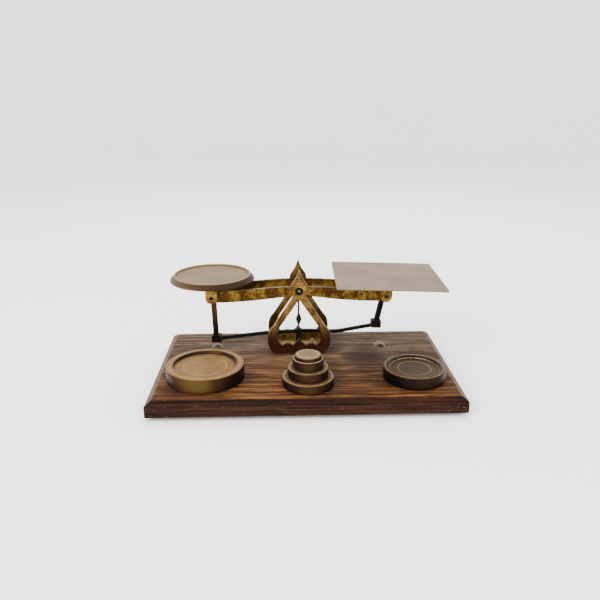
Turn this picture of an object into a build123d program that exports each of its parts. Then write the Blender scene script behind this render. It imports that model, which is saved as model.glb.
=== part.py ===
from build123d import *
import os
from math import cos, radians, sin

# Brass letter scale of the Roberval kind, on an oak board with its six weights.
# Millimetres, +Z up, +X towards the letter plate, -Y towards the user.
# Origin: centre of the board's outline, on the surface that the feet stand on.

# ---------------------------------------------------------------- fits
FIXED_GAP = 0.05          # round parts held fast in one another, per side
RUNNING_GAP = 0.05        # pivots that turn, per side
SIDE_GAP = 0.5            # between flat parts that swing past each other
RESTING_GAP = 0.1         # under a weight that can be lifted off

# ---------------------------------------------------------------- travel
PLATE_DOWN_DEG = 5.0      # letter plate sinks, until the stay's slot runs out
PAN_DOWN_DEG = 2.5        # weights pan sinks, until its leg meets the stud

# ---------------------------------------------------------------- board and feet
BOARD_LENGTH = 288.0
BOARD_DEPTH = 170.0
BOARD_THICKNESS = 15.5
BOARD_BEVEL_RUN = 7.0
BOARD_BEVEL_DROP = 4.8
FOOT_RADIUS = 9.0
FOOT_BASE_RADIUS = 7.6
FOOT_HEIGHT = 4.0
FOOT_INSET = 21.0
FOOT_SCREW_HEAD_RADIUS = 3.2
FOOT_SCREW_HEAD_HEIGHT = 1.6
FOOT_SCREW_RADIUS = 1.6
FOOT_SCREW_LENGTH = 11.0
FOOT_SCREW_SINK = 0.6

# ---------------------------------------------------------------- pedestal
MECHANISM_FROM_BACK = 46.0     # mid-plane of the scale, from the board's back edge
MECHANISM_LEFT = 4.4           # centre pivot, left of the board's middle
PIVOT_HEIGHT = 67.6            # beam's centre pivot above the board
FRAME_GAP = 36.6               # between the two frames' inner faces
FRAME_THICKNESS = 3.2
BOSS_RADIUS = 9.0
BOSS_PROUD = 1.0
FINIAL_HEIGHT = 24.6           # from the pivot to the frame's point
FINIAL_SHOULDER = 7.0          # from the pivot to the finial's shoulder
FINIAL_HALF_WIDTH = 7.9
FINIAL_HOLLOW = (0.36, 0.44)   # its side passes here, as parts of half width and height
BOSS_WAIST = 0.25              # boss drawn in above the pivot, and where
BOSS_WAIST_RISE = 3.85
NECK_DEG = 45.0                # below level, where the leg leaves the boss
WINDOW_APEX_DROP = 8.9         # from the pivot to the top of the window
BELLY_HEIGHT = 17.8            # height at which the frame is widest
BELLY_HALF_WIDTH = 32.0
WINDOW_HALF_WIDTH = 22.4
SHOULDER_HEIGHT = 29.8         # where the straight legs run into the belly
SHOULDER_HALF_WIDTH = 26.8
WINDOW_SHOULDER_HALF_WIDTH = 19.5
HIP_ROUND = (1.3, 0.6)         # belly's upper curve, in from its widest and up
WINDOW_HIP_ROUND = (0.7, 0.6)
WINDOW_BELLY_RISE = 0.7        # window is widest a little above the belly
CALF_ROUND = 1.2               # belly's lower curve, in from its widest
CALF_HEIGHT = 7.8
FOOT_HALF_WIDTH = 26.6
ANKLE_HEIGHT = 1.2
CUSP_HEIGHT = 17.4
LOBE_FLOOR = 9.2
LOBE_BUMP = 2.2
LOBE_INNER_X = 7.4
LOBE_OUTER_X = 16.8
LOBE_CORNER = (3.8, 3.0)       # sill's outer corner, out and up from the outer lobe
SPUR_CURVE = (0.36, 0.45)      # spur's side, as parts of its half width and height
ARCH_INNER_X = 10.0
ARCH_OUTER_X = 18.8
ARCH_HEIGHT = 2.7
FRAME_CORNER = 0.6
FRAME_EDGE_BREAK = 0.35

BUSH_RADIUS = 4.1
BUSH_LENGTH = 2.0

FLOOR_THICKNESS = 2.0
FLOOR_HALF_LENGTH = 24.0
FLANGE_HEIGHT = 8.4
FLANGE_THICKNESS = 1.8
RIVET_RADIUS = 1.5
FRAME_RIVET_X = 15.5
FRAME_RIVET_HEIGHT = 5.0
FLOOR_SCREW_X = 14.5
FLOOR_SCREW_Y = 10.5
FLOOR_SCREW_HEAD_RADIUS = 3.4
FLOOR_SCREW_HEAD_HEIGHT = 2.2
FLOOR_SCREW_RADIUS = 1.7
FLOOR_SCREW_LENGTH = 12.0
SCREW_SLOT_WIDTH = 0.9
SCREW_SLOT_DEPTH = 1.0
SCREW_SLOT_TURN_DEG = 20.0

# ---------------------------------------------------------------- beam
BEAM_ARM = 88.0                # centre pivot to end pivot, along X
END_PIVOT_DROP = 7.6           # end pivots lie lower than the centre pivot
BAR_TO_FRAME = 2.1             # between a bar and the frame beside it
BAR_THICKNESS = 3.0
BAR_END_RADIUS = 5.0
BAR_BOSS_RADIUS = 7.4
BAR_CROWN = 3.1                # bar's top edge above the centre pivot
BAR_DEPTH_AT_CENTRE = 9.8
BAR_TOP_STATION = (0.46, 1.9)  # part of the arm, and drop below the crown
BAR_KEEL_OUTER = (0.68, 0.5)   # part of the arm, and rise above the end's lowest point
BAR_KEEL_INNER = (0.40, 2.6)
ARBOR_RADIUS = 4.2
ARBOR_SEAT_RADIUS = 3.2
TRUNNION_RADIUS = 2.0
TRUNNION_PROUD = 1.3
TRUNNION_ROUND = 0.9
END_PIN_RADIUS = 2.0
END_PIN_HEAD_RADIUS = 3.2
END_PIN_HEAD = 1.2
END_PIN_SINK = 0.9
SPACER_INSET = 16.0            # from the end pivot
SPACER_RISE = 0.6              # above the end pivot
SPACER_RADIUS = 3.0
POINTER_RADIUS = 1.0
POINTER_SPIGOT_RADIUS = 1.1
POINTER_SPIGOT_LENGTH = 3.0
POINTER_COLLAR = (1.0, 2.0)    # spigot's thick part and its taper end, below the arbor
BEAD_RADIUS = 3.1
POINTER_CLEARANCE = 5.6        # bead's tip above the stay's pivot
BEAD_TOP_RISE = 13.5           # bead's top and waist above its tip
BEAD_WAIST_RISE = 8.1
BEAD_BELT = 0.8
BEAD_TIP_LENGTH = 1.6

# ---------------------------------------------------------------- pan carriers
CHEEK_THICKNESS = 2.4
CHEEK_HALF_WIDTH = 5.9
SEAT_HEIGHT = 16.4             # underside of pan and plate above the end pivot
BRIDGE_THICKNESS = 2.6
BRIDGE_CORNER = 1.4
PAN_SEAT_THICKNESS = 1.8
PAN_SEAT_RADIUS_LEFT = 24.2    # larger, so that the pan balances the letter plate
PAN_SEAT_RADIUS_RIGHT = 16.0
CARRIER_TILT_RIGHT_DEG = 1.5   # the letter plate hangs a little out of level
LEG_BAR_WIDTH = 5.4
LEG_BAR_DEPTH = 4.2
LEG_EDGE = 0.9
LEG_TENON_RADIUS = 1.9
LEG_CRANK_DROP = 3.0           # the right leg's bend, below the end pivot
KNUCKLE_WIDTH = 8.6
KNUCKLE_LENGTH = 10.4
KNUCKLE_BELOW_PIN = 2.9
KNUCKLE_ROOF = 1.2
STAY_SLOPE_ROOM = 0.6          # under the left knuckle's roof, where the stay slopes up
KNUCKLE_OUTBOARD = 3.3         # from the pin to the knuckle's outer end
LEG_FOOT_INBOARD = 1.3         # leg's foot, inboard of the knuckle's pin
PAN_RIVET_RADIUS = 1.5
PAN_RIVET_Y = 8.0

# ---------------------------------------------------------------- pans
PAN_SKIRT_RADIUS = 42.7
PAN_LIP_RADIUS = 38.4
PAN_FLOOR_THICKNESS = 2.2
PAN_LIP_HEIGHT = 2.3           # lip above the pan's floor
PAN_SKIRT_DROP = 1.5           # skirt below the pan's underside
PAN_WALL = 1.3
PAN_LIP_FOOT = 1.8             # lip's foot, in from its crest
PAN_BEAD = 0.4                 # softened edges of the lip and hem
PAN_HEM_HEIGHT = 1.6
PLATE_LENGTH = 108.0
PLATE_DEPTH = 102.0
PLATE_THICKNESS = 1.3
PLATE_CORNER = 2.5
PLATE_SHIFT = (1.6, -2.0)      # riveted on a little out of place and out of square
PLATE_SLEW_DEG = -1.4

# ---------------------------------------------------------------- stay
STAY_PIVOT_HEIGHT = 17.2       # above the board
STAY_DEPTH = 3.4
STAY_THICKNESS = 3.0
STAY_BOSS_RADIUS = 3.2
STAY_PIN_RADIUS = 1.5
KNUCKLE_PIN_RADIUS = 1.2
EYE_WALL = 1.3
SLOT_WALL = 1.0
RIGHT_PIN_INSET = 5.0          # right knuckle pin, inboard of the end pivot
RIGHT_PIN_RISE = 6.6           # right knuckle pin above the stay's pivot
STAY_KINK_LEFT = (-34.0, -1.7)     # bends in the stay, from its pivot
STAY_KINK_CENTRE = (4.0, 0.2)
STAY_KINK_RIGHT = (40.0, -0.9)
STAY_BEND_RADIUS = 40.0
POST_WIDTH = 5.6
POST_EAR = 2.2
POST_TENON_RADIUS = 1.9
FORK_SIDE_GAP = 0.3

STUD_RADIUS = 6.3
STUD_HEIGHT = 2.6
STUD_SHANK_RADIUS = 1.2
STUD_SHANK_LENGTH = 8.0
STUD_INSET = 2.0               # from below the end pivot, towards the middle

# ---------------------------------------------------------------- weights
# radius, height, rim width, dish depth, hollow radius, hollow depth
WEIGHTS = {
    "weight_16oz": (36.6, 14.2, 7.0, 2.4, 0.0, 0.0),
    "weight_8oz": (29.3, 11.4, 5.6, 2.1, 0.0, 0.0),
    "weight_4oz": (24.0, 8.6, 0.0, 0.0, 14.0, 3.3),
    "weight_2oz": (19.0, 9.0, 0.0, 0.0, 14.0, 5.6),
    "weight_1oz": (14.3, 8.8, 1.8, 1.4, 10.0, 5.2),
    "weight_half_oz": (12.1, 4.7, 0.0, 0.0, 8.0, 2.4),
}
WEIGHT_BEVEL = 1.1
DISH_SLOPE = 0.3               # dish wall's run, as a part of its depth
WEIGHT_FOOT_BREAK = 0.7
POUND_MARGIN_END = 12.7        # 16 oz weight to the board's end and front edge
POUND_MARGIN_FRONT = 13.4
HALF_POUND_MARGIN_END = 12.4   # 8 oz weight to the board's end and front edge
HALF_POUND_MARGIN_FRONT = 14.2
STACK_X = 1.6
STACK_MARGIN_FRONT = 8.5

# ---------------------------------------------------------------- worked-out places
BOARD_TOP = FOOT_HEIGHT + BOARD_THICKNESS
MID_X = -MECHANISM_LEFT
MID_Y = BOARD_DEPTH / 2 - MECHANISM_FROM_BACK
PIVOT_Z = BOARD_TOP + PIVOT_HEIGHT
END_PIVOT_Z = PIVOT_Z - END_PIVOT_DROP
STAY_Z = BOARD_TOP + STAY_PIVOT_HEIGHT
FRAME_INNER = FRAME_GAP / 2
FRAME_OUTER = FRAME_INNER + FRAME_THICKNESS
BAR_OUTER = FRAME_INNER - BAR_TO_FRAME
BAR_INNER = BAR_OUTER - BAR_THICKNESS
CHEEK_INNER = BAR_OUTER + SIDE_GAP
CHEEK_OUTER = CHEEK_INNER + CHEEK_THICKNESS
SPACER_Z = END_PIVOT_Z + SPACER_RISE
LEFT_PIN = (-BEAM_ARM, STAY_Z - END_PIVOT_DROP)
RIGHT_PIN = (BEAM_ARM - RIGHT_PIN_INSET, STAY_Z + RIGHT_PIN_RISE)


def loop_play(angle_deg):
    """How far the right knuckle pin moves in the stay's eye, as (x, z)."""
    reach_x = RIGHT_PIN_INSET
    reach_z = -END_PIVOT_DROP - RIGHT_PIN_RISE
    turn = radians(angle_deg)
    x = reach_x * (cos(turn) - 1) + reach_z * sin(turn)
    z = -reach_x * sin(turn) + reach_z * (cos(turn) - 1)
    return x, z


PLAY_PLATE_DOWN = loop_play(PLATE_DOWN_DEG)
PLAY_PAN_DOWN = loop_play(-PAN_DOWN_DEG)
SLOT_PLAY = 0.25
SLOT_SHIFT = (PLAY_PLATE_DOWN[0] + PLAY_PAN_DOWN[0]) / 2
SLOT_HALF_TRAVEL = abs(PLAY_PAN_DOWN[0] - PLAY_PLATE_DOWN[0]) / 2
SLOT_HALF_RISE = max(abs(PLAY_PLATE_DOWN[1]), abs(PLAY_PAN_DOWN[1]))
SLOT_HALF_HEIGHT = KNUCKLE_PIN_RADIUS + SLOT_HALF_RISE + SLOT_PLAY


# ---------------------------------------------------------------- shared shapes
def upright_plate(outline, y_back, thickness):
    """Flat X-Z outline made into a plate whose rear face is at y_back."""
    plane = Plane(origin=(0, y_back, 0), x_dir=(1, 0, 0), z_dir=(0, -1, 0))
    return extrude(plane * outline, thickness)


def rod_y(x, z, radius, y_low, y_high):
    """Round bar along Y."""
    plane = Plane(origin=(x, y_high, z), x_dir=(1, 0, 0), z_dir=(0, -1, 0))
    return extrude(plane * Circle(radius), y_high - y_low)


def rod_z(x, y, radius, z_low, z_high):
    """Round bar along Z."""
    return Pos(x, y, z_low) * extrude(Circle(radius), z_high - z_low)


def block(x_low, x_high, y_low, y_high, z_low, z_high):
    """Box given by its two corners."""
    size = (x_high - x_low, y_high - y_low, z_high - z_low)
    centre = ((x_low + x_high) / 2, (y_low + y_high) / 2, (z_low + z_high) / 2)
    return Pos(*centre) * Box(*size)


def turned(points):
    """Solid of revolution about Z from its (radius, height) outline."""
    profile = make_face(Polyline(*points, close=True))
    return revolve(Plane.XZ * profile, Axis.Z)


def domed_head(radius, height):
    """Cap of a sphere, flat side down at z = 0."""
    ball = (radius ** 2 + height ** 2) / (2 * height)
    rim = Line((0, 0), (radius, 0))
    middle = (ball ** 2 - (ball - height / 2) ** 2) ** 0.5
    crown = ThreePointArc((radius, 0), (middle, height / 2), (0, height))
    spine = Line((0, height), (0, 0))
    return revolve(Plane.XZ * make_face(rim + crown + spine), Axis.Z)


def mirrored_face(half):
    """Face from its right-hand outline, which starts and ends on the Z axis."""
    return make_face(half + mirror(half, about=Plane.YZ))


# ---------------------------------------------------------------- board and feet
def foot_places():
    x = BOARD_LENGTH / 2 - FOOT_INSET
    y = BOARD_DEPTH / 2 - FOOT_INSET
    return [(-x, -y), (x, -y), (-x, y), (x, y)]


def floor_screw_places():
    return [(FLOOR_SCREW_X, MID_Y + FLOOR_SCREW_Y), (-FLOOR_SCREW_X, MID_Y - FLOOR_SCREW_Y)]


def stud_places():
    x = BEAM_ARM - STUD_INSET
    return {"left": (-x, MID_Y), "right": (x, MID_Y)}


def oak_base():
    end = BOARD_LENGTH / 2
    front = BOARD_DEPTH / 2
    board = block(-end, end, -front, front, FOOT_HEIGHT, BOARD_TOP)
    top = board.faces().sort_by(Axis.Z)[-1]
    board = chamfer(top.edges(), BOARD_BEVEL_DROP, BOARD_BEVEL_RUN, reference=top)
    for x, y in foot_places():
        depth = FOOT_SCREW_SINK + FOOT_SCREW_HEAD_HEIGHT + FOOT_SCREW_LENGTH
        board -= rod_z(x, y, FOOT_SCREW_RADIUS + FIXED_GAP, 0, depth + FIXED_GAP)
    for x, y in floor_screw_places():
        low = BOARD_TOP + FLOOR_THICKNESS - FLOOR_SCREW_LENGTH - FIXED_GAP
        board -= rod_z(MID_X + x, y, FLOOR_SCREW_RADIUS + FIXED_GAP, low, BOARD_TOP)
    for x, y in stud_places().values():
        low = BOARD_TOP - STUD_SHANK_LENGTH - FIXED_GAP
        board -= rod_z(MID_X + x, y, STUD_SHANK_RADIUS + FIXED_GAP, low, BOARD_TOP)
    return board


def base_feet():
    outline = [(0, 0), (FOOT_BASE_RADIUS, 0), (FOOT_RADIUS, FOOT_HEIGHT / 2)]
    outline += [(FOOT_RADIUS, FOOT_HEIGHT), (0, FOOT_HEIGHT)]
    foot = turned(outline)
    foot -= rod_z(0, 0, FOOT_SCREW_RADIUS + FIXED_GAP, 0, FOOT_HEIGHT)
    recess = FOOT_SCREW_SINK + FOOT_SCREW_HEAD_HEIGHT
    foot -= rod_z(0, 0, FOOT_SCREW_HEAD_RADIUS + FIXED_GAP, 0, recess)
    return Compound([Pos(x, y, 0) * foot for x, y in foot_places()])


def foot_screws():
    top = FOOT_SCREW_SINK + FOOT_SCREW_HEAD_HEIGHT
    screw = rod_z(0, 0, FOOT_SCREW_HEAD_RADIUS, FOOT_SCREW_SINK, top)
    screw += rod_z(0, 0, FOOT_SCREW_RADIUS, top, top + FOOT_SCREW_LENGTH)
    slot_top = FOOT_SCREW_SINK + SCREW_SLOT_DEPTH
    reach = FOOT_SCREW_HEAD_RADIUS * 2
    screw -= block(-reach, reach, -SCREW_SLOT_WIDTH / 2, SCREW_SLOT_WIDTH / 2, 0, slot_top)
    return Compound([Pos(x, y, 0) * screw for x, y in foot_places()])


def stop_stud(side):
    x, y = stud_places()[side]
    stud = Pos(0, 0, BOARD_TOP) * domed_head(STUD_RADIUS, STUD_HEIGHT)
    stud += rod_z(0, 0, STUD_SHANK_RADIUS, BOARD_TOP - STUD_SHANK_LENGTH, BOARD_TOP)
    return Pos(x, y, 0) * stud


# ---------------------------------------------------------------- pedestal
def frame_outer_half():
    """Right-hand half of the frame's outside, from the point down to the feet."""
    point_rise = FINIAL_HEIGHT - FINIAL_SHOULDER
    shoulder = (FINIAL_HALF_WIDTH, PIVOT_HEIGHT + FINIAL_SHOULDER)
    hollow = (FINIAL_HALF_WIDTH * FINIAL_HOLLOW[0], shoulder[1] + point_rise * FINIAL_HOLLOW[1])
    side = (BOSS_RADIUS, PIVOT_HEIGHT)
    waist = (BOSS_RADIUS - BOSS_WAIST, PIVOT_HEIGHT + BOSS_WAIST_RISE)
    hip = (SHOULDER_HALF_WIDTH, SHOULDER_HEIGHT)
    belly = (BELLY_HALF_WIDTH, BELLY_HEIGHT)
    hip_height = (SHOULDER_HEIGHT + BELLY_HEIGHT) / 2 + HIP_ROUND[1]
    ankle = (FOOT_HALF_WIDTH, ANKLE_HEIGHT)
    half = ThreePointArc((0, PIVOT_HEIGHT + FINIAL_HEIGHT), hollow, shoulder)
    half += ThreePointArc(shoulder, waist, side)
    half += ThreePointArc(side, on_boss(NECK_DEG / 2), on_boss(NECK_DEG))
    half += Line(on_boss(NECK_DEG), hip)
    half += ThreePointArc(hip, (BELLY_HALF_WIDTH - HIP_ROUND[0], hip_height), belly)
    half += ThreePointArc(belly, (BELLY_HALF_WIDTH - CALF_ROUND, CALF_HEIGHT), ankle)
    half += Line(ankle, (FOOT_HALF_WIDTH, 0))
    half += Line((FOOT_HALF_WIDTH, 0), (ARCH_OUTER_X, 0))
    crown = ((ARCH_INNER_X + ARCH_OUTER_X) / 2, ARCH_HEIGHT)
    half += ThreePointArc((ARCH_OUTER_X, 0), crown, (ARCH_INNER_X, 0))
    half += Line((ARCH_INNER_X, 0), (0, 0))
    return half


def on_boss(drop_deg):
    """Point on the boss, at an angle below level."""
    turn = radians(drop_deg)
    return BOSS_RADIUS * cos(turn), PIVOT_HEIGHT - BOSS_RADIUS * sin(turn)


def frame_window_half():
    """Right-hand half of the window: pointed head, straight sides, lobed sill."""
    apex = (0, PIVOT_HEIGHT - WINDOW_APEX_DROP)
    shoulder = (WINDOW_SHOULDER_HALF_WIDTH, SHOULDER_HEIGHT)
    widest = (WINDOW_HALF_WIDTH, BELLY_HEIGHT + WINDOW_BELLY_RISE)
    hip_height = (SHOULDER_HEIGHT + BELLY_HEIGHT) / 2 + WINDOW_HIP_ROUND[1]
    hip = (WINDOW_HALF_WIDTH - WINDOW_HIP_ROUND[0], hip_height)
    outer_lobe = (LOBE_OUTER_X, LOBE_FLOOR)
    corner = (LOBE_OUTER_X + LOBE_CORNER[0], LOBE_FLOOR + LOBE_CORNER[1])
    bump = ((LOBE_INNER_X + LOBE_OUTER_X) / 2, LOBE_FLOOR + LOBE_BUMP)
    inner_lobe = (LOBE_INNER_X, LOBE_FLOOR)
    spur_height = LOBE_FLOOR + (CUSP_HEIGHT - LOBE_FLOOR) * SPUR_CURVE[1]
    half = Line(apex, shoulder)
    half += ThreePointArc(shoulder, hip, widest)
    half += ThreePointArc(widest, corner, outer_lobe)
    half += ThreePointArc(outer_lobe, bump, inner_lobe)
    half += ThreePointArc(inner_lobe, (LOBE_INNER_X * SPUR_CURVE[0], spur_height), (0, CUSP_HEIGHT))
    return half


def lyre_frame(side):
    """Cast frame; side is -1 for the front frame and +1 for the rear one."""
    outside = mirrored_face(frame_outer_half())
    window = mirrored_face(frame_window_half())
    outline = fillet(outside.vertices(), FRAME_CORNER) - fillet(window.vertices(), FRAME_CORNER)
    outline = Pos(0, BOARD_TOP) * outline
    frame = upright_plate(outline, FRAME_OUTER, FRAME_THICKNESS)
    broken = frame.faces().sort_by(Axis.Y)[-1].edges()
    frame = chamfer(broken, FRAME_EDGE_BREAK)
    boss = rod_y(0, PIVOT_Z, BOSS_RADIUS, FRAME_INNER, FRAME_OUTER + BOSS_PROUD)
    boss = chamfer(boss.faces().sort_by(Axis.Y)[-1].edges(), FRAME_EDGE_BREAK * 2)
    frame += boss
    frame -= rod_y(0, PIVOT_Z, BUSH_RADIUS + FIXED_GAP, FRAME_INNER, FRAME_OUTER + BOSS_PROUD)
    for x in (-FRAME_RIVET_X, FRAME_RIVET_X):
        height = BOARD_TOP + FRAME_RIVET_HEIGHT
        frame -= rod_y(x, height, RIVET_RADIUS + FIXED_GAP, FRAME_INNER, FRAME_OUTER)
    if side < 0:
        frame = mirror(frame, about=Plane.XZ)
    return Pos(0, MID_Y, 0) * frame


def pivot_bushes():
    bush = rod_y(0, PIVOT_Z, BUSH_RADIUS, FRAME_INNER, FRAME_INNER + BUSH_LENGTH)
    bush -= rod_y(0, PIVOT_Z, TRUNNION_RADIUS + RUNNING_GAP, FRAME_INNER, FRAME_OUTER)
    pair = [bush, mirror(bush, about=Plane.XZ)]
    return Compound([Pos(0, MID_Y, 0) * piece for piece in pair])


def floor_plate():
    """Bent-up brass channel between the frames, screwed to the board."""
    length = FLOOR_HALF_LENGTH
    floor_top = BOARD_TOP + FLOOR_THICKNESS
    flange_top = BOARD_TOP + FLANGE_HEIGHT
    inside = FRAME_INNER - FLANGE_THICKNESS
    channel = block(-length, length, -FRAME_INNER, FRAME_INNER, BOARD_TOP, flange_top)
    channel -= block(-length, length, -inside, inside, floor_top, flange_top)
    channel = Pos(0, MID_Y, 0) * channel
    for x in (-FRAME_RIVET_X, FRAME_RIVET_X):
        height = BOARD_TOP + FRAME_RIVET_HEIGHT
        channel -= rod_y(x, height, RIVET_RADIUS + FIXED_GAP, MID_Y - FRAME_GAP, MID_Y + FRAME_GAP)
    for x, y in floor_screw_places():
        channel -= rod_z(x, y, FLOOR_SCREW_RADIUS + FIXED_GAP, BOARD_TOP, floor_top)
    channel -= rod_z(0, MID_Y, POST_TENON_RADIUS + FIXED_GAP, BOARD_TOP, floor_top)
    return channel


def frame_rivets():
    solids = []
    height = BOARD_TOP + FRAME_RIVET_HEIGHT
    for x in (-FRAME_RIVET_X, FRAME_RIVET_X):
        for low in (-FRAME_OUTER, FRAME_INNER - FLANGE_THICKNESS):
            high = low + FLANGE_THICKNESS + FRAME_THICKNESS
            solids.append(rod_y(x, height, RIVET_RADIUS, MID_Y + low, MID_Y + high))
    return Compound(solids)


def floor_screws():
    seat = BOARD_TOP + FLOOR_THICKNESS
    screw = Pos(0, 0, seat) * domed_head(FLOOR_SCREW_HEAD_RADIUS, FLOOR_SCREW_HEAD_HEIGHT)
    screw += rod_z(0, 0, FLOOR_SCREW_RADIUS, seat - FLOOR_SCREW_LENGTH, seat)
    reach = FLOOR_SCREW_HEAD_RADIUS * 2
    top = seat + FLOOR_SCREW_HEAD_HEIGHT
    half = SCREW_SLOT_WIDTH / 2
    slot = block(-reach, reach, -half, half, top - SCREW_SLOT_DEPTH, top)
    screw -= Rot(0, 0, SCREW_SLOT_TURN_DEG) * slot
    return Compound([Pos(x, y, 0) * screw for x, y in floor_screw_places()])


def stay_post():
    """Small fork on the floor plate that holds the stay's centre pin."""
    foot = BOARD_TOP + FLOOR_THICKNESS
    gap = STAY_THICKNESS / 2 + FORK_SIDE_GAP
    reach = gap + POST_EAR
    half = POST_WIDTH / 2
    post = block(-half, half, -reach, reach, foot, STAY_Z)
    post += rod_y(0, STAY_Z, half, -reach, reach)
    fork_floor = STAY_Z - STAY_BOSS_RADIUS - SIDE_GAP
    post -= block(-POST_WIDTH, POST_WIDTH, -gap, gap, fork_floor, STAY_Z + POST_WIDTH)
    post -= rod_y(0, STAY_Z, STAY_PIN_RADIUS + FIXED_GAP, -reach, reach)
    post += rod_z(0, 0, POST_TENON_RADIUS, BOARD_TOP, foot)
    return Pos(0, MID_Y, 0) * post


def stay_post_pin():
    reach = STAY_THICKNESS / 2 + FORK_SIDE_GAP + POST_EAR
    return rod_y(0, STAY_Z, STAY_PIN_RADIUS, MID_Y - reach, MID_Y + reach)


# ---------------------------------------------------------------- beam
def both_sides(points):
    """Points read along the arm, first mirrored and then as given, with the middle once."""
    return [(-x, z) for x, z in points[:0:-1]] + points


def bar_outline():
    """One bar, arched over the middle and rounded about its end pivots."""
    arm = BEAM_ARM
    crown = PIVOT_Z + BAR_CROWN
    end_top = END_PIVOT_Z + BAR_END_RADIUS
    end_low = END_PIVOT_Z - BAR_END_RADIUS
    top = [(0, crown), (arm * BAR_TOP_STATION[0], crown - BAR_TOP_STATION[1]), (arm, end_top)]
    keel = [(0, crown - BAR_DEPTH_AT_CENTRE)]
    for part, rise in (BAR_KEEL_INNER, BAR_KEEL_OUTER):
        keel.append((arm * part, end_low + rise))
    keel.append((arm, end_low))
    tip = arm + BAR_END_RADIUS
    right = ThreePointArc((arm, end_top), (tip, END_PIVOT_Z), (arm, end_low))
    left = ThreePointArc((-arm, end_low), (-tip, END_PIVOT_Z), (-arm, end_top))
    edges = Spline(*both_sides(top)) + right + Spline(*both_sides(keel)) + left
    return make_face(edges) + Pos(0, PIVOT_Z) * Circle(BAR_BOSS_RADIUS)


def beam_bar(side):
    bar = upright_plate(bar_outline(), BAR_OUTER, BAR_THICKNESS)
    bar -= rod_y(0, PIVOT_Z, ARBOR_SEAT_RADIUS + FIXED_GAP, BAR_INNER, BAR_OUTER)
    for x in (-BEAM_ARM, BEAM_ARM):
        bar -= rod_y(x, END_PIVOT_Z, END_PIN_RADIUS + FIXED_GAP, BAR_INNER, BAR_OUTER)
        bar -= rod_y(spacer_x(x), SPACER_Z, RIVET_RADIUS + FIXED_GAP, BAR_INNER, BAR_OUTER)
    if side < 0:
        bar = mirror(bar, about=Plane.XZ)
    return Pos(0, MID_Y, 0) * bar


def spacer_x(end_x):
    """Spacer that belongs to the end pivot at end_x."""
    return end_x * (1 - SPACER_INSET / BEAM_ARM)


def beam_arbor():
    half = rod_y(0, PIVOT_Z, ARBOR_RADIUS, 0, BAR_INNER)
    half += rod_y(0, PIVOT_Z, ARBOR_SEAT_RADIUS, BAR_INNER, FRAME_INNER - SIDE_GAP)
    tip = FRAME_INNER + BUSH_LENGTH + TRUNNION_PROUD
    trunnion = rod_y(0, PIVOT_Z, TRUNNION_RADIUS, FRAME_INNER - SIDE_GAP, tip)
    trunnion = fillet(trunnion.faces().sort_by(Axis.Y)[-1].edges(), TRUNNION_ROUND)
    half += trunnion
    arbor = half + mirror(half, about=Plane.XZ)
    low = PIVOT_Z - ARBOR_RADIUS
    arbor -= rod_z(0, 0, POINTER_SPIGOT_RADIUS + FIXED_GAP, low, low + POINTER_SPIGOT_LENGTH)
    return Pos(0, MID_Y, 0) * arbor


def beam_spacers():
    spacer = rod_y(0, SPACER_Z, SPACER_RADIUS, -BAR_INNER, BAR_INNER)
    spacer += rod_y(0, SPACER_Z, RIVET_RADIUS, -BAR_OUTER, BAR_OUTER)
    return Compound([Pos(spacer_x(end), MID_Y, 0) * spacer for end in (-BEAM_ARM, BEAM_ARM)])


def beam_pins(side):
    pin = rod_y(0, END_PIVOT_Z, END_PIN_RADIUS, BAR_INNER, CHEEK_OUTER - END_PIN_SINK)
    pin += rod_y(0, END_PIVOT_Z, END_PIN_HEAD_RADIUS, BAR_INNER - END_PIN_HEAD, BAR_INNER)
    pair = [pin, mirror(pin, about=Plane.XZ)]
    return Compound([Pos(side * BEAM_ARM, MID_Y, 0) * piece for piece in pair])


def pointer():
    """Rod that hangs from the arbor, ending in a pointed bead."""
    under = -ARBOR_RADIUS
    root = under + POINTER_SPIGOT_LENGTH - FIXED_GAP
    tip = STAY_Z + POINTER_CLEARANCE - PIVOT_Z
    waist = tip + BEAD_WAIST_RISE
    outline = [(0, root), (POINTER_SPIGOT_RADIUS, root)]
    outline += [(POINTER_SPIGOT_RADIUS, under - POINTER_COLLAR[0])]
    outline += [(POINTER_RADIUS, under - POINTER_COLLAR[1]), (POINTER_RADIUS, tip + BEAD_TOP_RISE)]
    outline += [(BEAD_RADIUS, waist), (BEAD_RADIUS, waist - BEAD_BELT)]
    outline += [(POINTER_RADIUS, tip + BEAD_TIP_LENGTH), (0, tip)]
    return Pos(0, MID_Y, PIVOT_Z) * turned(outline)


# ---------------------------------------------------------------- pan carriers
def hang(side, piece):
    """Place a carrier piece, drawn about its end pivot, on its end of the beam."""
    tilt = CARRIER_TILT_RIGHT_DEG if side > 0 else 0.0
    return Pos(side * BEAM_ARM, MID_Y, END_PIVOT_Z) * Rot(0, tilt, 0) * piece


def pin_from_pivot(side):
    """Knuckle pin seen from the end pivot, in the carrier's own directions."""
    pin = RIGHT_PIN if side > 0 else LEFT_PIN
    dx = pin[0] - side * BEAM_ARM
    dz = pin[1] - END_PIVOT_Z
    tilt = radians(CARRIER_TILT_RIGHT_DEG if side > 0 else 0.0)
    return dx * cos(tilt) - dz * sin(tilt), dx * sin(tilt) + dz * cos(tilt)


def seat_levels():
    bridge_top = SEAT_HEIGHT - PAN_SEAT_THICKNESS
    return bridge_top - BRIDGE_THICKNESS, bridge_top


def pan_rivet_holes(low, high):
    return [rod_z(0, y, PAN_RIVET_RADIUS + FIXED_GAP, low, high) for y in (-PAN_RIVET_Y, PAN_RIVET_Y)]


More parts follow.
